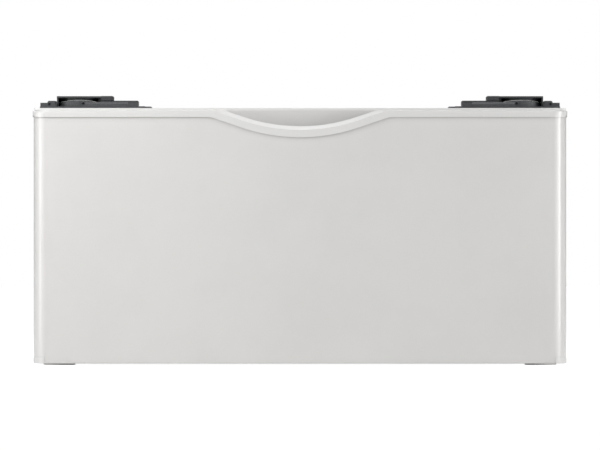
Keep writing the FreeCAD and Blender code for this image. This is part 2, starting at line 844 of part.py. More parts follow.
# ---------------------------------------------------------------------------
# Holders for the washer's feet
# ---------------------------------------------------------------------------
holder_front_y = plate_front_y + holder_set_back
holder_middle_y = (plate_front_y + back_y) / 2
cup_y = holder_front_y + bar_depth + cup_set_back + cup_inner_radius + cup_wall
block_screw_x = (block_outer + block_inner) / 2
hood_front_y = holder_front_y + block_set_back
lug_screw_x = (lug_inner + lug_step) / 2
body_screw_x = (body_inner + bar_inner) / 2


def holder_z(height):
    """Height above the floor of a height given above the top plate."""
    return top_z + height


def holder_screw_places():
    """X, distance behind the holder's front edge, and face height of each screw of a holder."""
    return [
        (block_screw_x, block_set_back + block_screw_edge, block_top),
        (block_screw_x, block_set_back + hood_depth - block_screw_edge, block_top),
        (lug_screw_x, lug_screw_back, lug_high),
        (body_screw_x, holder_depth - body_screw_back, body_top),
    ]


def with_screw_wells(piece):
    """Cut the shank hole and the sunk seat of every screw of a holder."""
    for x, back, face in holder_screw_places():
        y = holder_front_y + back
        seat_z = holder_z(face - screw_head_height)
        shank = cylinder(screw_radius + screw_gap, V(x, y, top_z - 1), V(x, y, seat_z + 1))
        well = cylinder(screw_head_radius + screw_gap, V(x, y, seat_z),
                        V(x, y, seat_z + cut_margin))
        piece = piece.cut(shank).cut(well)
    return piece


def holder_screw_points():
    """Points on the top plate under every holder screw of the pedestal."""
    points = []
    for x, back, _ in holder_screw_places():
        for side in (-1, 1):
            y = holder_front_y + back
            points.append(V(side * x, y, top_z))
            points.append(V(side * x, 2 * holder_middle_y - y, top_z))
    return points


def crowned(grow=0.0):
    """Round bar along Y whose top is the crown of the apron, a little grown if asked."""
    axis = V(cup_x, holder_front_y - cut_margin, holder_z(cup_rim) - cup_crown_radius)
    return cylinder(cup_crown_radius + grow, axis, axis + V(0, holder_depth + 2 * cut_margin, 0))


def cup_apron():
    """Solid round nose around the front of the cup, with a crowned top and a rounded edge."""
    radius = cup_inner_radius + cup_wall
    low = holder_z(holder_flange)
    front = V(cup_x, cup_y - apron_depth, low)
    rise = V(0, 0, cup_rim)
    nose = cylinder(radius, front, front + rise)
    block = box((cup_x - radius, cup_x + radius), (front.y, cup_y), (low, low + cup_rim))
    nose = nose.fuse(block).removeSplitter().common(crowned())
    rim = [edge for edge in nose.Edges
           if edge.BoundBox.YMin < front.y - 1 and edge.CenterOfMass.z > low + 1]
    return nose.makeFillet(cup_edge_round, rim)


def holder_base():
    """Base moulding of the right-hand front holder: flange, cup, bar, body and lug."""
    y0 = holder_front_y
    flange = rounded_box((holder_inner, holder_outer), (y0, y0 + holder_depth),
                         (holder_z(0), holder_z(holder_flange)), holder_corner)
    low = holder_z(holder_flange)

    centre = V(cup_x, cup_y, low)
    rim = V(cup_x, cup_y, holder_z(cup_rim))
    cup_bore = cylinder(cup_inner_radius, centre, rim + V(0, 0, 1))
    mouth = box((cup_x - cup_mouth / 2, cup_x + cup_mouth / 2), (cup_y, y0 + holder_depth),
                (low, holder_z(cup_rim) + 1))
    cup = cylinder(cup_inner_radius + cup_wall, centre, rim).common(crowned())
    cup = cup.fuse(cup_apron()).cut(cup_bore).cut(mouth)
    cup_pad = cylinder(cup_inner_radius - cup_pad_gap, centre, centre + V(0, 0, cup_pad_rise))

    bar_y = (y0 + bar_set_back, y0 + bar_set_back + bar_depth)
    bar = box((bar_inner, bar_outer), bar_y, (low, holder_z(bar_top)))
    front_top = [edge for edge in edges_along(bar, V(1, 0, 0))
                 if abs(edge.CenterOfMass.y - bar_y[0]) < 1e-6 and edge.CenterOfMass.z > low + 1]
    bar = bar.makeChamfer(bar_bevel, front_top)
    end_block = box((body_inner, bar_inner), (bar_y[0] + bar_set_back, bar_y[1]),
                    (low, holder_z(lug_low)))
    boss_y = bar_y[0] + boss_set_back
    boss = box((bar_outer, bar_outer + boss_width), (boss_y, cup_y), (low, holder_z(boss_top)))

    trough_y = (bar_y[1] + body_wall, y0 + holder_depth - trough_back_gap)
    body = rounded_box((body_inner, block_inner), (bar_y[1], y0 + holder_depth - body_back_gap),
                       (low, holder_z(body_top)), body_corner)
    body = body.makeFillet(body_edge_round, top_edges(body, holder_z(body_top), block_inner))
    body = body.cut(box((body_inner + body_wall, block_inner - body_wall), trough_y,
                        (low + trough_floor, holder_z(body_top) + 1)))
    rib_pitch = (trough_y[1] - trough_y[0]) / (trough_ribs + 1)
    for index in range(trough_ribs):
        rib_y = trough_y[0] + rib_pitch * (index + 1)
        rib = box((body_inner + body_wall / 2, block_inner - body_wall / 2),
                  (rib_y - rib_thickness / 2, rib_y + rib_thickness / 2),
                  (low, holder_z(body_top - rib_drop)))
        body = body.fuse(rib)

    lug_y = (y0 + lug_set_back, y0 + lug_set_back + lug_depth)
    lug = box((lug_inner, lug_outer), lug_y, (low, holder_z(lug_high)))
    lug = lug.cut(box((lug_step, holder_outer), lug_y, (holder_z(lug_low), holder_z(lug_high))))
    step = [edge for edge in edges_along(lug, V(0, 1, 0))
            if abs(edge.CenterOfMass.x - lug_step) < 1e-6
            and abs(edge.CenterOfMass.z - holder_z(lug_high)) < 1e-6]
    lug = lug.makeChamfer(lug_bevel, step)

    seat = box((block_inner, block_outer), (bar_y[1], hood_front_y + hood_depth),
               (low, holder_z(cup_rim)))
    base = fused(flange, cup, cup_pad, bar, end_block, body, lug, leaning_web(low, lug_y[0]),
                 seat.cut(cup_bore), boss.cut(cup_bore))

    base = with_screw_wells(base)
    for x, y, z in ((bar_outer + boss_width / 2, boss_y, boss_hole_height),
                    (lug_hole_x, lug_y[0], lug_hole_height)):
        start = V(x, y - 1, holder_z(z))
        base = base.cut(cylinder(front_hole_radius, start, start + V(0, front_hole_depth, 0)))
    return base


def top_edges(block, z, outer_x):
    """Edges round the top of a block, apart from the one on its outer side."""
    return [edge for edge in block.Edges
            if abs(edge.BoundBox.ZMin - z) < 1e-3 and edge.CenterOfMass.x < outer_x - 1e-3]


def leaning_web(low, front):
    """Thin web on the flange beside the lug, leaning towards the cup."""
    foot_x = lug_inner + web_foot
    corners = [V(foot_x, front, low), V(foot_x - web_thickness, front, low),
               V(foot_x - web_thickness - web_lean, front, holder_z(web_top)),
               V(foot_x - web_lean, front, holder_z(web_top))]
    return Part.Face(Part.makePolygon(corners + corners[:1])).extrude(V(0, web_depth, 0))


def holder_hood():
    """Retainer screwed over the cup, with a slot for the stud of the washer's foot."""
    y = (hood_front_y, hood_front_y + hood_depth)
    outer_x = cup_x + cup_inner_radius + cup_wall + touch_gap + hood_wall
    side_y = (y[0] + hood_corner, y[1] - hood_corner)
    under = holder_z(hood_top - hood_sheet)
    plate = box((block_outer - 1, outer_x), y, (under, holder_z(hood_top)))
    corners = edges_along(plate, V(0, 0, 1), lambda middle: middle.x > outer_x - 1)
    plate = plate.makeFillet(hood_corner, corners)
    wall = box((outer_x - hood_wall, outer_x), side_y, (holder_z(holder_flange), under))
    block = box((block_inner, block_outer), y, (holder_z(cup_rim), holder_z(block_top)))
    corners = edges_along(block, V(0, 0, 1), lambda middle: middle.x < block_inner + 1)
    block = block.makeFillet(hood_corner, corners)
    block = block.makeFillet(hood_edge_round, top_edges(block, holder_z(block_top), block_outer))

    # Skirt over the front half of the cup's wall, a little above the crown.
    low = V(cup_x, cup_y, holder_z(holder_flange))
    high = V(cup_x, cup_y, under)
    skirt = cylinder(cup_inner_radius + hood_skirt, low, high)
    skirt = skirt.cut(cylinder(cup_inner_radius, low, high)).cut(crowned(touch_gap))
    skirt = skirt.common(box((block_outer, outer_x), (y[0], cup_y), (low.z, high.z)))

    hood = fused(plate, wall, block, skirt)
    slot_end = V(cup_x, cup_y, top_z)
    slot_top = holder_z(block_top)
    hood = hood.cut(cylinder(stud_slot / 2, slot_end, V(cup_x, cup_y, slot_top)))
    hood = hood.cut(box((cup_x - stud_slot / 2, cup_x + stud_slot / 2), (cup_y, y[1] + 1),
                        (top_z, slot_top)))
    return with_screw_wells(hood)


def to_rear(shape):
    """The rear holder stands the other way round on the top plate."""
    return shape.mirror(V(0, holder_middle_y, 0), V(0, 1, 0))


# ---------------------------------------------------------------------------
# Screws
# ---------------------------------------------------------------------------
def pan_screw(seat, outward, length=screw_length, head_height=screw_head_height):
    """Round-headed screw with a cross recess, seated on a face whose normal is given."""
    head = cylinder(screw_head_radius, seat, seat + outward * head_height)
    rim = [edge for edge in head.Edges
           if edge.Curve.TypeId == "Part::GeomCircle"
           and (edge.Curve.Center - seat).dot(outward) > head_height / 2]
    head = head.makeFillet(head_height * 0.6, rim)
    shank = cylinder(screw_radius, seat - outward * length, seat)
    screw = head.fuse(shank)
    along = V(1, 0, 0) if abs(outward.x) < 0.5 else V(0, 1, 0)
    across = outward.cross(along)
    arm = screw_head_radius * 0.55
    floor = seat + outward * (head_height - recess_depth * head_height / screw_head_height)
    for first, second in ((along, across), (across, along)):
        corners = []
        for a, b in ((-1, -1), (1, -1), (1, 1), (-1, 1), (-1, -1)):
            corners.append(floor + first * (a * arm) + second * (b * recess_width / 2))
        recess = Part.Face(Part.makePolygon(corners)).extrude(outward * (recess_depth + 1))
        screw = screw.cut(recess)
    return screw


def holder_screws():
    """Screws that hold the four holders to the top plate and the beams."""
    screws = []
    for x, back, face in holder_screw_places():
        seat = face - screw_head_height
        for side in (-1, 1):
            y = holder_front_y + back
            for place in (y, 2 * holder_middle_y - y):
                screws.append(pan_screw(V(side * x, place, holder_z(seat)), V(0, 0, 1),
                                        seat + holder_screw_bite))
    return Part.makeCompound(screws)


def cabinet_screws():
    """Screws of the back panel."""
    return Part.makeCompound([pan_screw(seat, V(0, 1, 0)) for seat in back_screw_points()])


def slide_screws():
    """Thin-headed screws that hold the cabinet rails of both slides to the posts."""
    right = [pan_screw(seat, V(-1, 0, 0), post_width / 3, wafer_head_height)
             for seat in rail_screw_points()]
    return Part.makeCompound(right + [mirrored(screw, V(1, 0, 0)) for screw in right])


def drawer_screws():
    """Screws that hold the tub to the drawer front."""
    return Part.makeCompound([pan_screw(seat, V(0, 1, 0)) for seat in tub_screw_points()])


def drawer_stops():
    """Rubber buttons on the inner face of the drawer front, at its four corners."""
    stops = []
    x = half_width - side_return / 2 - skin
    for side in (-1, 1):
        for z in (side_bottom_z + stop_edge, side_top_z - stop_edge):
            start = V(side * x, front_back_y, z)
            stops.append(cylinder(stop_radius, start, start + V(0, stop_thickness, 0)))
    return Part.makeCompound(stops)


# ---------------------------------------------------------------------------
# Write every piece
# ---------------------------------------------------------------------------
save("drawer_front_skin", drawer_front_skin())
save("drawer_front_liner", drawer_front_liner())
save("handle_trim", handle_trim())
save("finger_pocket", finger_pocket())
save("corner_cap_right", corner_cap(1))
save("corner_cap_left", corner_cap(-1))
save("drawer_stops", drawer_stops())
save("drawer_screws", drawer_screws())
both_sides("tub_side", tub_side())
save("tub_floor", tub_floor())
save("tub_back", tub_back())

both_sides("side_panel", side_panel())
save("back_panel", back_panel())
save("top_plate", top_plate())
both_sides("front_post", corner_post(False))
both_sides("rear_post", corner_post(True))
both_sides("holder_beam", holder_beam())
both_sides("base_rail", base_rail())
save("base_cross_rail_front", base_cross_rail(False))
save("base_cross_rail_rear", base_cross_rail(True))
save("cabinet_screws", cabinet_screws())
save("slide_screws", slide_screws())

both_sides("slide_cabinet_rail", cabinet_rail())
both_sides("slide_middle_rail", middle_rail())
both_sides("slide_drawer_rail", drawer_rail())
outer_web, middle_web, inner_lip, inner_web = slide_layout()
lip = inner_web + rail_sheet + touch_gap
outer_cage, outer_balls = ball_cage(outer_web - rail_sheet - cage_web_gap, lip, outer_inside)
inner_cage, inner_balls = ball_cage(middle_web - rail_sheet - cage_web_gap, lip, middle_inside)
both_sides("slide_outer_cage", outer_cage)
both_sides("slide_outer_balls", outer_balls)
both_sides("slide_inner_cage", inner_cage)
both_sides("slide_inner_balls", inner_balls)

for end, foot_y in zip(("front", "rear"), foot_places()):
    both_sides("foot_pad_" + end, foot_pad(foot_x, foot_y))
    both_sides("foot_stud_" + end, foot_stud(foot_x, foot_y))
save("foot_nuts", foot_nuts())

front_base = holder_base()
front_hood = holder_hood()
both_sides("holder_base_front", front_base)
both_sides("holder_base_rear", to_rear(front_base))
both_sides("holder_hood_front", front_hood)
both_sides("holder_hood_rear", to_rear(front_hood))
save("holder_screws", holder_screws())
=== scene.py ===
"""Washer pedestal drawer: finishes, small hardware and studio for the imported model, in metres."""
import math
import bpy
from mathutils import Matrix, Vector


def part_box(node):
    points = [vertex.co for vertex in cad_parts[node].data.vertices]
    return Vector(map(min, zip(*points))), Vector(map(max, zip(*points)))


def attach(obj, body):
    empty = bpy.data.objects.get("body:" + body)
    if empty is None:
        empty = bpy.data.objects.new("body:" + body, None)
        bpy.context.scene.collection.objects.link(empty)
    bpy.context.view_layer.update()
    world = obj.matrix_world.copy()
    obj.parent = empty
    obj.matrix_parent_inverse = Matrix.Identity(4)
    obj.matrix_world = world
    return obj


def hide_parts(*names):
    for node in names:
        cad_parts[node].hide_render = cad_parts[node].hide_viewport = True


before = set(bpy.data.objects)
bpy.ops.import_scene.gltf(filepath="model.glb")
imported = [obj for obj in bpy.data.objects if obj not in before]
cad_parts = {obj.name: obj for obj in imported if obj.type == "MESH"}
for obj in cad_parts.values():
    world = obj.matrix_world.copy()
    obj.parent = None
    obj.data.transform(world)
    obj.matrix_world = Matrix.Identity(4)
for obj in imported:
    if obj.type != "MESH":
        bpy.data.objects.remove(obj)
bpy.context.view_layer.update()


# --- Studio ----------------------------------------------------------------------------------
# A pale floor and a white surround, tall soft lamps at both sides, soft ones overhead, and a small
# one near the upper left of the drawer.  The camera is far off with a long lens, as in the photo,
# and a camera below the floor sees through it.
scene = bpy.context.scene
scene.view_settings.view_transform = "Standard"

camera_height = 0.18125
camera_distance = 12.358
sensor_width = 36
lens_length = 560
camera = bpy.data.objects.new("camera", bpy.data.cameras.new("camera"))
camera.location = (0, -camera_distance, camera_height)
camera.rotation_euler = (math.radians(90), 0, 0)
camera.data.sensor_width = sensor_width
camera.data.lens = lens_length
scene.collection.objects.link(camera)
scene.camera = camera


def add(tree, kind, inputs=None, **settings):
    """A node with its settings; an input takes a value, or a socket that feeds it."""
    node = tree.nodes.new(kind)
    for name, value in settings.items():
        setattr(node, name, value)
    for name, value in (inputs or {}).items():
        if isinstance(value, bpy.types.NodeSocket):
            tree.links.new(value, node.inputs[name])
        else:
            node.inputs[name].default_value = value
    return node


def seen_directly(tree):
    """1 where the camera, or a reflection or see-through of it, looks straight at a surface."""
    path = add(tree, "ShaderNodeLightPath")
    first = add(tree, "ShaderNodeMath", {0: path.outputs["Is Camera Ray"],
                                         1: path.outputs["Is Glossy Ray"]}, operation="MAXIMUM")
    both = add(tree, "ShaderNodeMath", {0: first.outputs[0],
                                        1: path.outputs["Is Transmission Ray"]},
               operation="MAXIMUM")
    return both.outputs[0]


surround_level = 0.34
flag_start, flag_end = 0.12, 0.45
flag_level = 0.12


def side_fade(tree):
    """1 towards the front and the back, and low towards both sides, where studio flags stand."""
    where = add(tree, "ShaderNodeTexCoord")
    parts = add(tree, "ShaderNodeSeparateXYZ", {0: where.outputs["Generated"]})
    aside = add(tree, "ShaderNodeMath", {0: parts.outputs["X"]}, operation="ABSOLUTE")
    faded = add(tree, "ShaderNodeMapRange", {"Value": aside.outputs[0], "From Min": flag_start,
                                             "From Max": flag_end, "To Min": 1.0,
                                             "To Max": flag_level})
    return faded.outputs[0]


def white_surround():
    """White where the camera sees it, dimmer in what it lights, and faded towards the flags."""
    world = bpy.data.worlds.new("surround")
    world.use_nodes = True
    tree = world.node_tree
    tree.nodes.clear()
    path = add(tree, "ShaderNodeLightPath")
    level = add(tree, "ShaderNodeMapRange", {"Value": seen_directly(tree),
                                             "To Min": surround_level, "To Max": 1.0})
    faded = add(tree, "ShaderNodeMath", {0: level.outputs[0], 1: side_fade(tree)},
                operation="MULTIPLY")
    white = add(tree, "ShaderNodeMath", {0: path.outputs["Is Camera Ray"],
                                         1: faded.outputs[0]}, operation="MAXIMUM")
    sky = add(tree, "ShaderNodeBackground", {"Color": (1, 1, 1, 1),
                                             "Strength": white.outputs[0]})
    add(tree, "ShaderNodeOutputWorld", {"Surface": sky.outputs[0]})
    return world


scene.world = white_surround()


def soft_lamp(name, stand, target, size, power):
    """Oblong lamp that faces a point."""
    data = bpy.data.lights.new(name, "AREA")
    data.shape = "RECTANGLE"
    data.size, data.size_y = size
    data.energy = power
    lamp = bpy.data.objects.new(name, data)
    lamp.location = stand
    lamp.rotation_euler = (Vector(target) - Vector(stand)).to_track_quat("-Z", "Y").to_euler()
    scene.collection.objects.link(lamp)


front_y = -0.35
lamp_distance = 2
lamp_height = 0.45
tall_lamp = (0.5, 1.2)
wide_lamp = (1.6, 0.6)
small_lamp = (0.3, 0.3)
for turn, watts in ((-55, 3.6), (-72, 7.9), (-85, 2.0), (45, 3.1), (60, 5.3), (72, 10.9)):
    aside = lamp_distance * math.sin(math.radians(turn))
    ahead = lamp_distance * math.cos(math.radians(turn))
    soft_lamp("lamp_aside_%+d" % turn, (aside, front_y - ahead, lamp_height),
              (math.copysign(0.2, turn), front_y, 0.18), tall_lamp, watts)
soft_lamp("lamp_over", (0, front_y, 2.0), (0, front_y, 0.3), wide_lamp, 6.7)
soft_lamp("lamp_behind", (0, 1.0, 1.9), (0, -0.3, 0.33), wide_lamp, 11)
soft_lamp("lamp_ahead", (0, -1.6, 1.9), (0, -0.3, 0.3), wide_lamp, 1.1)
soft_lamp("lamp_corner", (-0.55, -0.95, 0.62), (-0.3, front_y, 0.27), small_lamp, 1.95)

floor_size = 30
glow_seen = 0.9
glow_reflected = 0.6


def floor_finish():
    """Matt pale floor that glows where it is seen, and is clear to a camera below it."""
    paint = bpy.data.materials.new("floor")
    paint.use_nodes = True
    tree = paint.node_tree
    tree.nodes.clear()
    matt = add(tree, "ShaderNodeBsdfDiffuse", {"Color": (0.8, 0.8, 0.8, 1)})
    path = add(tree, "ShaderNodeLightPath")
    level = add(tree, "ShaderNodeMapRange", {"Value": path.outputs["Is Camera Ray"],
                                             "To Min": glow_reflected, "To Max": glow_seen})
    glow = add(tree, "ShaderNodeEmission", {"Color": (1, 1, 1, 1),
                                            "Strength": level.outputs[0]})
    lifted = add(tree, "ShaderNodeAddShader", {0: matt.outputs[0], 1: glow.outputs[0]})
    look = add(tree, "ShaderNodeMixShader", {0: seen_directly(tree), 1: matt.outputs[0],
                                             2: lifted.outputs[0]})
    facing = add(tree, "ShaderNodeNewGeometry")
    below = add(tree, "ShaderNodeMath", {0: facing.outputs["Backfacing"],
                                         1: path.outputs["Is Camera Ray"]},
                operation="MULTIPLY")
    clear = add(tree, "ShaderNodeBsdfTransparent")
    seen = add(tree, "ShaderNodeMixShader", {0: below.outputs[0], 1: look.outputs[0],
                                             2: clear.outputs[0]})
    add(tree, "ShaderNodeOutputMaterial", {"Surface": seen.outputs[0]})
    return paint


bpy.ops.mesh.primitive_plane_add(size=floor_size, location=(0, 0, 0))
floor = bpy.context.object
floor.name = "floor"
floor.data.materials.append(floor_finish())


# --- Drawer front ----------------------------------------------------------------------------
# Pan of steel sheet with rounded upright edges and a small folded hem, powder coated in a warm
# white.  Baked powder keeps a faint orange peel, and years of hands leave a trace of dullness.
def effect(name, inputs, outputs):
    """Empty node group with named number inputs and outputs of the kinds given."""
    group = bpy.data.node_groups.new(name, "ShaderNodeTree")
    for label, value in inputs.items():
        socket = group.interface.new_socket(label, in_out="INPUT", socket_type="NodeSocketFloat")
        socket.default_value = value
    for label, kind in outputs.items():
        group.interface.new_socket(label, in_out="OUTPUT", socket_type=kind)
    start = group.nodes.new("NodeGroupInput")
    end = group.nodes.new("NodeGroupOutput")
    return group, start.outputs, end.inputs


def place(tree, group, **values):
    """A group in a material, with its own values."""
    node = tree.nodes.new("ShaderNodeGroup")
    node.node_tree = group
    for name, value in values.items():
        node.inputs[name.replace("_", " ")].default_value = value
    return node.outputs


def object_place(tree, stretch=(1, 1, 1)):
    """Object coordinates in metres, stretched along the axes."""
    where = add(tree, "ShaderNodeTexCoord")
    mapped = add(tree, "ShaderNodeMapping", {"Vector": where.outputs["Object"],
                                             "Scale": stretch})
    return mapped.outputs[0]


def ripple_effect():
    """Orange peel of a coat: long soft waves under a finer grain."""
    group, given, out = effect("coat ripple", {"Wave Size": 260, "Grain Size": 1900,
                                               "Grain": 0.3},
                               {"Height": "NodeSocketFloat"})
    where = object_place(group)
    wave = add(group, "ShaderNodeTexNoise", {"Vector": where, "Scale": given["Wave Size"],
                                             "Detail": 1.0})
    grain = add(group, "ShaderNodeTexNoise", {"Vector": where, "Scale": given["Grain Size"],
                                              "Detail": 2.0})
    height = add(group, "ShaderNodeMath", {0: grain.outputs[0], 1: given["Grain"],
                                           2: wave.outputs[0]}, operation="MULTIPLY_ADD")
    group.links.new(height.outputs[0], out["Height"])
    return group


def handling_effect():
    """Cloudy mask of dust and dulled coat."""
    group, given, out = effect("handling", {"Cloud Size": 9, "Amount": 1.0},
                               {"Mask": "NodeSocketFloat"})
    where = object_place(group)
    cloud = add(group, "ShaderNodeTexNoise", {"Vector": where, "Scale": given["Cloud Size"],
                                              "Detail": 5.0, "Roughness": 0.62})
    contrast = add(group, "ShaderNodeMapRange", {"Value": cloud.outputs[0], "From Min": 0.42,
                                                 "From Max": 0.72})
    mask = add(group, "ShaderNodeMath", {0: contrast.outputs[0], 1: given["Amount"]},
               operation="MULTIPLY", use_clamp=True)
    group.links.new(mask.outputs[0], out["Mask"])
    return group


def edge_effect():
    """Mask of rubbed edges: where a rounded normal leaves the true one, broken up by noise."""
    group, given, out = effect("edge wear", {"Radius": 0.0008, "Break Up": 420, "Amount": 1.0},
                               {"Mask": "NodeSocketFloat"})
    rounded = add(group, "ShaderNodeBevel", {"Radius": given["Radius"]}, samples=6)
    true = add(group, "ShaderNodeNewGeometry")
    facing = add(group, "ShaderNodeVectorMath", {0: rounded.outputs[0],
                                                 1: true.outputs["Normal"]},
                 operation="DOT_PRODUCT")
    turned = add(group, "ShaderNodeMapRange", {"Value": facing.outputs["Value"],
                                               "From Min": 0.98, "From Max": 0.72})
    noise = add(group, "ShaderNodeTexNoise", {"Vector": object_place(group),
                                              "Scale": given["Break Up"], "Detail": 3.0})
    broken = add(group, "ShaderNodeMapRange", {"Value": noise.outputs[0], "From Min": 0.35,
                                               "From Max": 0.6})
    both = add(group, "ShaderNodeMath", {0: turned.outputs[0], 1: broken.outputs[0]},
               operation="MULTIPLY")
    mask = add(group, "ShaderNodeMath", {0: both.outputs[0], 1: given["Amount"]},
               operation="MULTIPLY", use_clamp=True)
    group.links.new(mask.outputs[0], out["Mask"])
    return group


def crease_shade_effect():
    """Mask of painted shade in inner corners, such as under the trim; none near the floor."""
    group, given, out = effect("crease_shade_group", {"Reach": 0.008}, {"Mask": "NodeSocketFloat"})
    parts = add(group, "ShaderNodeSeparateXYZ", {0: object_place(group)})
    above = add(group, "ShaderNodeMapRange", {"Value": parts.outputs["Z"], "From Min": 0.004,
                                              "From Max": 0.016})
    # Painted shade: ambient occlusion finds the inner corners whose colour is darkened.
    open_side = add(group, "ShaderNodeAmbientOcclusion", {"Distance": given["Reach"]}, samples=12)
    mask = add(group, "ShaderNodeMapRange", {"Value": open_side.outputs["AO"], "From Min": 0.97,
                                             "From Max": 0.52})
    clear = add(group, "ShaderNodeMath", {0: mask.outputs[0], 1: above.outputs[0]},
                operation="MULTIPLY")
    group.links.new(clear.outputs[0], out["Mask"])
    return group


coat_ripple = ripple_effect()
handling = handling_effect()
edge_wear = edge_effect()
crease_shade_group = crease_shade_effect()


def finish_material(name):
    """A material with one Principled surface; returns the material, its tree and the surface."""
    material = bpy.data.materials.new(name)
    material.use_nodes = True
    tree = material.node_tree
    tree.nodes.clear()
    surface = add(tree, "ShaderNodeBsdfPrincipled")
    add(tree, "ShaderNodeOutputMaterial", {"Surface": surface.outputs[0]})
    return material, tree, surface


def shaded(colour, share):
    """A colour made darker or lighter."""
    return tuple(min(1.0, channel * share) for channel in colour)


def tint(tree, mask, plain, marked):
    """Colour that goes from plain to marked with a mask."""
    mix = add(tree, "ShaderNodeMix", {"Factor": mask}, data_type="RGBA")
    for name, colour in (("A", plain), ("B", marked)):
        socket = [s for s in mix.inputs if s.name == name and s.type == "RGBA"][0]
        if isinstance(colour, bpy.types.NodeSocket):
            tree.links.new(colour, socket)
        else:
            socket.default_value = (*colour, 1)
    return [s for s in mix.outputs if s.type == "RGBA"][0]


def ramp(tree, value, low, high, start=0.0, end=1.0):
    """Number that goes from low to high while a value goes from start to end."""
    return add(tree, "ShaderNodeMapRange", {"Value": value, "From Min": start, "From Max": end,
                                            "To Min": low, "To Max": high}).outputs[0]


def bumped(tree, height, distance):
    """Normal of a surface raised by a height map, in metres at full height."""
    return add(tree, "ShaderNodeBump", {"Height": height, "Distance": distance,
                                        "Strength": 1.0}).outputs[0]


def feed(tree, surface, colour, rough, normal):
    """Link the maps of a surface."""
    for label, source in (("Base Color", colour), ("Roughness", rough), ("Normal", normal)):
        tree.links.new(source, surface.inputs[label])


def dress(material, *names):
    """Give CAD nodes their finish."""
    for name in names:
        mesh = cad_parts[name].data
        mesh.materials.clear()
        mesh.materials.append(material)


def enamel(name, colour, rough=0.32, peel=0.00005, crease_shade=0.8, coat=0.85):
    """Powder coat on steel; its inner corners get painted shade, as dark as the crease share."""
    material, tree, surface = finish_material(name)
    dull = place(tree, handling)["Mask"]
    worn = place(tree, edge_wear, Radius=0.0009, Amount=0.35)["Mask"]
    dusty = tint(tree, dull, colour, shaded(colour, 0.965))
    rubbed = tint(tree, worn, dusty, shaded(colour, 1.05))
    # Painted shade: inner corners are darkened in the colour.
    crease_shaded = tint(tree, place(tree, crease_shade_group)["Mask"], rubbed, shaded(colour, crease_shade))
    feed(tree, surface, crease_shaded, ramp(tree, dull, rough, rough + 0.12),
         bumped(tree, place(tree, coat_ripple)["Height"], peel))
    surface.inputs["Coat Weight"].default_value = coat
    surface.inputs["Coat Roughness"].default_value = 0.15
    return material


# Its painted shade is darkest in the crease under the trim.
front_white = enamel("white enamel", (0.84, 0.83, 0.813), crease_shade=0.72)
dress(front_white, "drawer_front_skin")


# --- Handle trim and corner caps -------------------------------------------------------------
# White plastic moulding that clips over the top of the drawer front and dips into a lip, and two
# low caps round its bottom corners.  The plastic is smoother than the coat, with rubbed edges.
def moulded(name, colour, rough, grain, edge, gloss=0.0):
    """Injection-moulded plastic with a fine spark texture; its edges are rubbed lighter."""
    material, tree, surface = finish_material(name)
    dull = place(tree, handling, Cloud_Size=16)["Mask"]
    worn = place(tree, edge_wear, Radius=0.0006, Amount=edge)["Mask"]
    dusty = tint(tree, dull, colour, shaded(colour, 0.98))
    height = place(tree, coat_ripple, Wave_Size=900, Grain_Size=5200, Grain=0.9)["Height"]
    feed(tree, surface, tint(tree, worn, dusty, shaded(colour, 1.12)),
         ramp(tree, dull, rough, rough + 0.05), bumped(tree, height, grain))
    surface.inputs["Coat Weight"].default_value = gloss
    return material


trim_white = moulded("trim plastic", (0.878, 0.872, 0.86), rough=0.24, grain=0.000012, edge=0.2,
                     gloss=0.3)
dress(trim_white, "handle_trim", "corner_cap_left", "corner_cap_right")


# --- Finger pocket ---------------------------------------------------------------------------
# Moulded cup behind the lip, open from above and from the front, where fingers reach in.  Its
# plastic is matt and slightly greyer than that of the trim.
pocket_grey = moulded("pocket plastic", (0.862, 0.854, 0.842), rough=0.5, grain=0.00002, edge=0.2)
dress(pocket_grey, "finger_pocket")


# --- Drawer box ------------------------------------------------------------------------------
# Tub of coated steel sheet screwed to the liner of the front.  Its coat is thinner and flatter
# than that of the front, and the floor is scuffed by what slides about in it.
box_white = enamel("box enamel", (0.8, 0.795, 0.785), rough=0.46, peel=0.00007)
dress(box_white, "drawer_front_liner", "tub_side_left", "tub_side_right", "tub_back")


def scuffed_enamel():
    """The tub floor's coat, with long grey scuffs."""
    material, tree, surface = finish_material("tub floor enamel")
    streaks = add(tree, "ShaderNodeTexNoise", {"Vector": object_place(tree, (60, 9, 60)),
                                               "Scale": 1.0, "Detail": 6.0, "Roughness": 0.7,
                                               "Distortion": 0.6})
    scuffs = ramp(tree, streaks.outputs[0], 0.0, 1.0, 0.56, 0.68)
    feed(tree, surface, tint(tree, scuffs, (0.79, 0.785, 0.775), (0.68, 0.675, 0.665)),
         ramp(tree, scuffs, 0.44, 0.62),
         bumped(tree, place(tree, coat_ripple)["Height"], 0.00008))
    return material


dress(scuffed_enamel(), "tub_floor")


# --- Cabinet panels --------------------------------------------------------------------------
# Side panels and top plate of the same coated steel as the front.  The top plate carries the
# machine, and its coat is flatter and duller.  Its colour is painted lighter, as painted light
# on its front edge.
side_white = enamel("cabinet enamel", (0.842, 0.832, 0.815), rough=0.36)
dress(side_white, "side_panel_left", "side_panel_right")
# Painted light: the plate's colour is lighter than the sides', so its front edge looks lit.
plate_lit_white = enamel("top plate lit enamel", (0.93, 0.925, 0.915), rough=0.5, crease_shade=1.0, coat=0.15)
dress(plate_lit_white, "top_plate")


# --- Seal strip ------------------------------------------------------------------------------
# Thin white foam strip glued under the front edge of the top plate; it closes the running gap over
# the drawer front.
def block(name, low, high, material, body):
    """Plain block between two corners, in one finish, that rides a body; faces point outward."""
    corners = [(x, y, z) for x in (low[0], high[0]) for y in (low[1], high[1])
               for z in (low[2], high[2])]
    faces = [(0, 1, 3, 2), (4, 6, 7, 5), (0, 4, 5, 1), (2, 3, 7, 6), (0, 2, 6, 4), (1, 5, 7, 3)]
    mesh = bpy.data.meshes.new(name)
    mesh.from_pydata(corners, [], faces)
    piece = bpy.data.objects.new(name, mesh)
    scene.collection.objects.link(piece)
    mesh.materials.append(material)
    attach(piece, body)


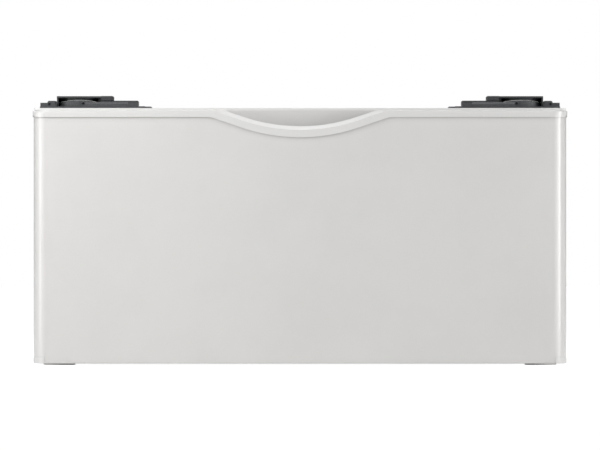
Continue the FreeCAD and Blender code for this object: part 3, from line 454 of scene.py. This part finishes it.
seal_inset = 0.008
seal_setback = 0.0002
seal_depth = 0.003
seal_clearance = 0.00008
seal_foam = moulded("seal foam", (0.9, 0.895, 0.885), rough=0.75, grain=0.00003, edge=0.0)
plate_low, plate_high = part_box("top_plate")
trim_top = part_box("handle_trim")[1].z
block("seal_strip",
      (plate_low.x + seal_inset, plate_low.y + seal_setback, trim_top + seal_clearance),
      (plate_high.x - seal_inset, plate_low.y + seal_depth, plate_low.z),
      seal_foam, "cabinet")


# --- Posts, beams, rails and back panel ------------------------------------------------------
# Folded galvanised sheet, left bare, spot welded at the base and screwed to the panels: zinc
# crystals a few millimetres across under a dull film of handling.
def spangle_effect():
    """Zinc crystals: each has its own shade and rises towards its edges."""
    group, given, out = effect("zinc spangle", {"Crystal Size": 150},
                               {"Shade": "NodeSocketFloat", "Height": "NodeSocketFloat"})
    where = object_place(group)
    drift = add(group, "ShaderNodeTexNoise", {"Vector": where, "Scale": 60.0, "Detail": 2.0})
    shifted = add(group, "ShaderNodeVectorMath", {0: drift.outputs["Color"],
                                                  1: (0.012, 0.012, 0.012)},
                  operation="MULTIPLY")
    bent = add(group, "ShaderNodeVectorMath", {0: where, 1: shifted.outputs[0]},
               operation="ADD")
    crystals = add(group, "ShaderNodeTexVoronoi", {"Vector": bent.outputs[0],
                                                   "Scale": given["Crystal Size"]})
    shade = add(group, "ShaderNodeSeparateColor", {0: crystals.outputs["Color"]})
    group.links.new(shade.outputs[0], out["Shade"])
    group.links.new(crystals.outputs["Distance"], out["Height"])
    return group


zinc_spangle = spangle_effect()


def galvanised_steel():
    """Bare galvanised sheet."""
    material, tree, surface = finish_material("galvanised")
    crystal = place(tree, zinc_spangle)
    film = place(tree, handling, Cloud_Size=22)["Mask"]
    worn = place(tree, edge_wear, Amount=0.6)["Mask"]
    shade = tint(tree, crystal["Shade"], (0.5, 0.51, 0.52), (0.68, 0.69, 0.7))
    dulled = tint(tree, film, shade, (0.5, 0.5, 0.49))
    rough = add(tree, "ShaderNodeMath", {0: ramp(tree, crystal["Shade"], 0.34, 0.5),
                                         1: ramp(tree, film, 0.0, 0.14)}, operation="ADD")
    feed(tree, surface, tint(tree, worn, dulled, (0.82, 0.83, 0.84)), rough.outputs[0],
         bumped(tree, crystal["Height"], 0.00006))
    surface.inputs["Metallic"].default_value = 0.9
    return material


galvanised = galvanised_steel()
sheet_parts = [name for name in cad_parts
               if name.startswith(("front_post", "rear_post", "holder_beam", "base_"))]
dress(galvanised, "back_panel", *sheet_parts)


# --- Ball slides -----------------------------------------------------------------------------
# Telescopic slides: zinc plated rails rolled from strip, so their grain and their ball tracks run
# along them.  Each row of polished balls sits in a punched cage, under a thin film of grease.
grease_tint = (0.8, 0.785, 0.74)


def plated_steel(name, colour, rough, stretch):
    """Zinc plate over rolled or turned steel; the stretch sets which way its grain runs."""
    material, tree, surface = finish_material(name)
    grain = add(tree, "ShaderNodeTexNoise", {"Vector": object_place(tree, stretch),
                                             "Scale": 1.0, "Detail": 3.0, "Roughness": 0.65})
    film = place(tree, handling, Cloud_Size=30)["Mask"]
    worn = place(tree, edge_wear, Radius=0.0005, Amount=0.7)["Mask"]
    bright = shaded(colour, 1.2)
    greasy = tuple(channel * share for channel, share in zip(colour, grease_tint))
    streaked = tint(tree, ramp(tree, grain.outputs[0], 0.0, 1.0, 0.35, 0.65), colour, bright)
    feed(tree, surface, tint(tree, worn, tint(tree, film, streaked, greasy), bright),
         ramp(tree, grain.outputs[0], rough - 0.07, rough + 0.1, 0.3, 0.7),
         bumped(tree, grain.outputs[0], 0.00002))
    surface.inputs["Metallic"].default_value = 1.0
    return material


rail_zinc = plated_steel("slide steel", (0.47, 0.467, 0.45), rough=0.3, stretch=(1400, 16, 1400))
ball_polish = plated_steel("ball steel", (0.72, 0.72, 0.73), rough=0.12, stretch=(300, 300, 300))
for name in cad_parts:
    if name.startswith("slide_") and name != "slide_screws":
        dress(ball_polish if "balls" in name else rail_zinc, name)


# --- Spot welds and pressed dimples ----------------------------------------------------------
# Shallow round marks of a few millimetres that hold the folded sheets together: on the underside
# of the base and along the foot of the tub.  Pressed dimples stiffen the webs of the middle rails.
def growth(name, inputs):
    """Geometry tree with named inputs, each of a kind and with a value or none, and one result."""
    group = bpy.data.node_groups.new(name, "GeometryNodeTree")
    keys = {}
    for label, kind, value in inputs + [("Finish", "Material", None)]:
        socket = group.interface.new_socket(label, in_out="INPUT", socket_type="NodeSocket" + kind)
        if value is not None:
            socket.default_value = value
        keys[label] = socket.identifier
    group.interface.new_socket("Result", in_out="OUTPUT", socket_type="NodeSocketGeometry")
    return group, keys, group.nodes.new("NodeGroupInput").outputs


def close(group, given, shape):
    """End a geometry tree with real, finished geometry."""
    real = add(group, "GeometryNodeRealizeInstances", {"Geometry": shape})
    coated = add(group, "GeometryNodeSetMaterial", {"Geometry": real.outputs[0],
                                                    "Material": given["Finish"]})
    end = group.nodes.new("NodeGroupOutput")
    group.links.new(coated.outputs[0], end.inputs["Result"])


def moved(group, shape, offset):
    """Geometry shifted by an offset."""
    return add(group, "GeometryNodeTransform", {"Geometry": shape,
                                                "Translation": offset}).outputs[0]


def sized(group, shape, x, y, z):
    """Geometry stretched along the axes."""
    size = add(group, "ShaderNodeCombineXYZ", {"X": x, "Y": y, "Z": z})
    return add(group, "GeometryNodeTransform", {"Geometry": shape,
                                                "Scale": size.outputs[0]}).outputs[0]


def dimple_tree():
    """A flat dome on every point of a mesh, turned to face along the point's own direction."""
    group, keys, given = growth("dimples on points", [
        ("Points", "Geometry", None), ("Radius", "Float", 0.003), ("Rise", "Float", 0.0003)])
    dome = add(group, "GeometryNodeMeshUVSphere", {"Segments": 14, "Rings": 8, "Radius": 1.0})
    flat = sized(group, dome.outputs["Mesh"], given["Radius"], given["Radius"], given["Rise"])
    facing = add(group, "GeometryNodeInputNamedAttribute", {"Name": "facing"},
                 data_type="FLOAT_VECTOR")
    turned = add(group, "FunctionNodeAlignRotationToVector",
                 {"Vector": facing.outputs["Attribute"]}, axis="Z")
    placed = add(group, "GeometryNodeInstanceOnPoints",
                 {"Points": given["Points"], "Instance": flat, "Rotation": turned.outputs[0]})
    close(group, given, placed.outputs[0])
    return group, keys


def grown(name, mesh, tree, keys, values, material):
    """Run a geometry tree on a mesh and keep what comes out as a plain mesh object."""
    seed = bpy.data.objects.new(name + "_seed", mesh)
    scene.collection.objects.link(seed)
    modifier = seed.modifiers.new("grow", "NODES")
    modifier.node_group = tree
    for label, value in values.items():
        modifier[keys[label]] = value
    modifier[keys["Finish"]] = material
    ready = seed.evaluated_get(bpy.context.evaluated_depsgraph_get())
    result = bpy.data.meshes.new_from_object(ready)
    seed.modifiers.remove(modifier)
    bpy.data.objects.remove(seed)
    piece = bpy.data.objects.new(name, result)
    scene.collection.objects.link(piece)
    return piece


dimples, dimple_keys = dimple_tree()


def weld_marks(name, body, places, radius, rise, material):
    """Dimples of one body; each place is a point and the direction it faces."""
    mesh = bpy.data.meshes.new(name + "_places")
    mesh.from_pydata([point for point, _ in places], [], [])
    facing = mesh.attributes.new("facing", "FLOAT_VECTOR", "POINT")
    facing.data.foreach_set("vector", [part for _, way in places for part in way])
    piece = grown(name, mesh, dimples, dimple_keys, {"Radius": radius, "Rise": rise}, material)
    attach(piece, body)


def spread(low, high, count, step):
    """Evenly spaced places about the middle of a stretch."""
    return [(low + high) / 2 + (index - (count - 1) / 2) * step for index in range(count)]


weld_step = 0.06
rail_weld_step = 2 * weld_step
lap_inset = 0.01
lap_end_inset = 0.012
base_welds = []
for end in ("front", "rear"):
    low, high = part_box("base_cross_rail_" + end)
    for side in (-1, 1):
        for y in (low.y + lap_inset, high.y - lap_inset):
            base_welds.append(((side * (high.x - lap_end_inset), y, low.z), (0, 0, -1)))
for side in ("left", "right"):
    low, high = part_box("base_rail_" + side)
    count = int((high.y - low.y) / rail_weld_step)
    for y in spread(low.y, high.y, count, rail_weld_step):
        base_welds.append((((low.x + high.x) / 2, y, low.z), (0, 0, -1)))
weld_marks("base_welds", "cabinet", base_welds, radius=0.003, rise=0.00025,
           material=galvanised)

first_tub_weld = 0.04
tub_weld_margin = 0.06
tub_weld_height = 0.0045
tub_welds = []
for side, way in (("left", -1), ("right", 1)):
    low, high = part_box("tub_side_" + side)
    face_x = high.x if way > 0 else low.x
    count = int((high.y - low.y - tub_weld_margin) / weld_step)
    for index in range(count + 1):
        y = low.y + first_tub_weld + index * weld_step
        tub_welds.append(((face_x, y, low.z + tub_weld_height), (way, 0, 0)))
weld_marks("tub_welds", "drawer", tub_welds, radius=0.0024, rise=0.00022,
           material=box_white)

dimple_step = 0.085
dimple_margin = 0.04
for side, way in (("left", -1), ("right", 1)):
    low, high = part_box("slide_middle_rail_" + side)
    face_x = high.x if way > 0 else low.x
    count = int((high.y - low.y - dimple_margin) / dimple_step) + 1
    rail_dimples = [((face_x, y, (low.z + high.z) / 2), (way, 0, 0))
                    for y in spread(low.y, high.y, count, dimple_step)]
    weld_marks("rail_dimples_" + side, "middle_rail_" + side, rail_dimples, radius=0.005,
               rise=0.0003, material=rail_zinc)


# --- Levelling feet --------------------------------------------------------------------------
# Rubber-shod pad under a zinc plated M10 stud that is turned by its hexagon, with a weld nut above
# the base rail and a lock nut below it.  The pad has grip ribs round its rim.
def stud_tree():
    """Threaded stud with a hexagon, standing on the origin; the thread is a helix of ridges."""
    group, keys, given = growth("threaded stud", [
        ("Seed", "Geometry", None), ("Foot", "Vector", None), ("Length", "Float", 0.05),
        ("Crest", "Float", 0.005), ("Depth", "Float", 0.0007), ("Pitch", "Float", 0.0015),
        ("Plain End", "Float", 0.008), ("Hexagon Corner", "Float", 0.0098),
        ("Hexagon Low", "Float", 0.005), ("Hexagon Height", "Float", 0.0032)])

    def number(kind, first, second):
        return add(group, "ShaderNodeMath", {0: first, 1: second}, operation=kind).outputs[0]

    def upright(height):
        return add(group, "ShaderNodeCombineXYZ", {"Z": height}).outputs[0]

    def rod(radius, length, low, sides):
        solid = add(group, "GeometryNodeMeshCylinder",
                    {"Vertices": sides, "Radius": radius, "Depth": length})
        middle = number("ADD", low, number("MULTIPLY", length, 0.5))
        return moved(group, solid.outputs["Mesh"], upright(middle))

    root = number("SUBTRACT", given["Crest"], given["Depth"])
    core = rod(root, given["Length"], 0.0, 32)
    plain = rod(given["Crest"], given["Plain End"], 0.0, 32)
    hexagon = rod(given["Hexagon Corner"], given["Hexagon Height"], given["Hexagon Low"], 6)
    run = number("SUBTRACT", given["Length"], number("ADD", given["Plain End"],
                                                     number("MULTIPLY", given["Pitch"], 1.5)))
    helix = add(group, "GeometryNodeCurveSpiral",
                {"Resolution": 24, "Rotations": number("DIVIDE", run, given["Pitch"]),
                 "Start Radius": root, "End Radius": root, "Height": run})
    ridge = add(group, "GeometryNodeCurvePrimitiveCircle",
                {"Resolution": 4, "Radius": given["Depth"]}, mode="RADIUS")
    thread = add(group, "GeometryNodeCurveToMesh",
                 {"Curve": helix.outputs[0], "Profile Curve": ridge.outputs[0],
                  "Fill Caps": True})
    above = number("ADD", given["Plain End"], number("MULTIPLY", given["Pitch"], 0.5))
    raised = moved(group, thread.outputs[0], upright(above))
    joined = add(group, "GeometryNodeJoinGeometry")
    for part in (raised, hexagon, plain, core):
        group.links.new(part, joined.inputs[0])
    close(group, given, moved(group, joined.outputs[0], given["Foot"]))
    return group, keys


def rib_tree():
    """Ring of upright ribs round a pad's rim."""
    group, keys, given = growth("rim ribs", [
        ("Seed", "Geometry", None), ("Centre", "Vector", None), ("Count", "Int", 32),
        ("Rim", "Float", 0.02), ("Rib Height", "Float", 0.003), ("Rib Width", "Float", 0.0014)])
    ring = add(group, "GeometryNodeMeshCircle", {"Vertices": given["Count"],
                                                 "Radius": given["Rim"]})
    unit_rod = add(group, "GeometryNodeMeshCylinder", {"Vertices": 10, "Radius": 0.5,
                                                       "Depth": 1.0})
    rib = sized(group, unit_rod.outputs["Mesh"], given["Rib Width"], given["Rib Width"],
                given["Rib Height"])
    placed = add(group, "GeometryNodeInstanceOnPoints", {"Points": ring.outputs[0],
                                                         "Instance": rib})
    close(group, given, moved(group, placed.outputs[0], given["Centre"]))
    return group, keys


def rubber(name, colour):
    """Moulded rubber: matt, scuffed grey where it rubs."""
    material, tree, surface = finish_material(name)
    scuff = place(tree, handling, Cloud_Size=90)["Mask"]
    worn = place(tree, edge_wear, Radius=0.0007, Amount=0.8)["Mask"]
    dusty = tuple(channel + 0.05 for channel in colour)
    rubbed = tuple(channel + 0.09 for channel in colour)
    height = place(tree, coat_ripple, Wave_Size=1500, Grain_Size=6000)["Height"]
    feed(tree, surface, tint(tree, worn, tint(tree, scuff, colour, dusty), rubbed),
         ramp(tree, scuff, 0.72, 0.9), bumped(tree, height, 0.00006))
    return material


stud_zinc = plated_steel("screw zinc", (0.56, 0.56, 0.55), rough=0.32, stretch=(500, 500, 900))
pad_rubber = rubber("foot rubber", (0.7, 0.695, 0.68))
studs, stud_keys = stud_tree()
ribs, rib_keys = rib_tree()
hexagon_gap = 0.0003
rib_centre = 0.0021
rib_height = 0.0034
four_corners = [end + "_" + side for end in ("front", "rear") for side in ("left", "right")]
for corner in four_corners:
    dress(pad_rubber, "foot_pad_" + corner)
    low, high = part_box("foot_stud_" + corner)
    middle = (low + high) / 2
    pad_low, pad_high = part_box("foot_pad_" + corner)
    sizes = {"Foot": (middle.x, middle.y, low.z), "Length": high.z - low.z,
             "Hexagon Corner": max(high.x - low.x, high.y - low.y) / 2,
             "Hexagon Low": pad_high.z + hexagon_gap - low.z}
    stud = grown("stud_" + corner, bpy.data.meshes.new("stud_" + corner), studs, stud_keys,
                 sizes, stud_zinc)
    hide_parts("foot_stud_" + corner)
    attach(stud, "foot_screw_" + corner)
    rim = {"Centre": (middle.x, middle.y, rib_centre), "Rim": (pad_high.x - pad_low.x) / 2,
           "Rib Height": rib_height}
    grip = grown("pad_ribs_" + corner, bpy.data.meshes.new("ribs_" + corner), ribs, rib_keys,
                 rim, pad_rubber)
    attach(grip, "foot_" + corner)
dress(stud_zinc, "foot_nuts")


# --- Drawer stops ----------------------------------------------------------------------------
# Grey rubber buttons between the back of the drawer front and the cabinet, which take up the
# knock when the drawer closes.
dress(rubber("stop rubber", (0.42, 0.42, 0.41)), "drawer_stops")


# --- Holders for the machine's feet ----------------------------------------------------------
# Dark grey glass-filled moulding with a cup, a bar, a ribbed body and a lug, and a hood of black
# coated steel over the cup.  A gusset stands beside the lug, and a stop ends the hood's slot.
# Glass fibre shows as pale specks, and bare edges rub lighter.
def speck_effect():
    """Specks of glass fibre and filler; a larger share lets more of them show."""
    group, given, out = effect("filler specks", {"Speck Size": 1500, "Share": 0.3},
                               {"Mask": "NodeSocketFloat"})
    where = object_place(group)
    fine = add(group, "ShaderNodeTexNoise", {"Vector": where, "Scale": given["Speck Size"],
                                             "Detail": 2.0, "Roughness": 0.7})
    level = add(group, "ShaderNodeMath", {0: 0.72, 1: given["Share"]}, operation="SUBTRACT")
    top = add(group, "ShaderNodeMath", {0: level.outputs[0], 1: 0.14}, operation="ADD")
    mask = add(group, "ShaderNodeMapRange", {"Value": fine.outputs[0],
                                             "From Min": level.outputs[0],
                                             "From Max": top.outputs[0]})
    group.links.new(mask.outputs[0], out["Mask"])
    return group


filler_specks = speck_effect()


def filled_plastic(name, colour, specks, rough):
    """Dark glass-filled plastic, and the hoods' coat, which has the same pale specks."""
    material, tree, surface = finish_material(name)
    speck = place(tree, filler_specks, Share=specks)["Mask"]
    worn = place(tree, edge_wear, Radius=0.0006, Amount=0.9)["Mask"]
    specked = tint(tree, speck, colour, shaded(colour, 1.9))
    height = place(tree, coat_ripple, Wave_Size=700, Grain_Size=3500, Grain=0.8)["Height"]
    feed(tree, surface, tint(tree, worn, specked, shaded(colour, 2.1)),
         ramp(tree, speck, rough, rough - 0.12), bumped(tree, height, 0.00005))
    return material


holder_grey = filled_plastic("holder plastic", (0.047, 0.05, 0.052), specks=0.3, rough=0.56)
hood_black = filled_plastic("hood coat", (0.034, 0.037, 0.039), specks=0.24, rough=0.54)


def holder_block(name, corner, inward, back, up, material):
    """Block of a holder: inward from its outer edge, back from its front edge, up from its base."""
    low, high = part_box("holder_base_" + corner)
    if low.x > 0:
        xs = (high.x - inward[1], high.x - inward[0])
    else:
        xs = (low.x + inward[0], low.x + inward[1])
    if corner.startswith("rear"):
        ys = (high.y - back[1], high.y - back[0])
    else:
        ys = (low.y + back[0], low.y + back[1])
    block(name + "_" + corner, (xs[0], ys[0], low.z + up[0]), (xs[1], ys[1], low.z + up[1]),
          material, "cabinet")


gusset_inward, gusset_back, gusset_up = (0.0195, 0.0223), (0.0135, 0.016), (0.0019, 0.0088)
stop_inward, stop_back, stop_up = (0.0755, 0.0792), (0.0175, 0.020), (0.0075, 0.0133)
for corner in four_corners:
    dress(holder_grey, "holder_base_" + corner)
    dress(hood_black, "holder_hood_" + corner)
    holder_block("lug_gusset", corner, gusset_inward, gusset_back, gusset_up, holder_grey)
    holder_block("slot_stop", corner, stop_inward, stop_back, stop_up, hood_black)


# --- Screws ----------------------------------------------------------------------------------
# Round-headed screws with a cross recess, zinc plated.  Those of the holders sit in sunk seats,
# and the others hold the slides, the drawer front and the back panel.
dress(stud_zinc, "holder_screws", "cabinet_screws", "slide_screws", "drawer_screws")
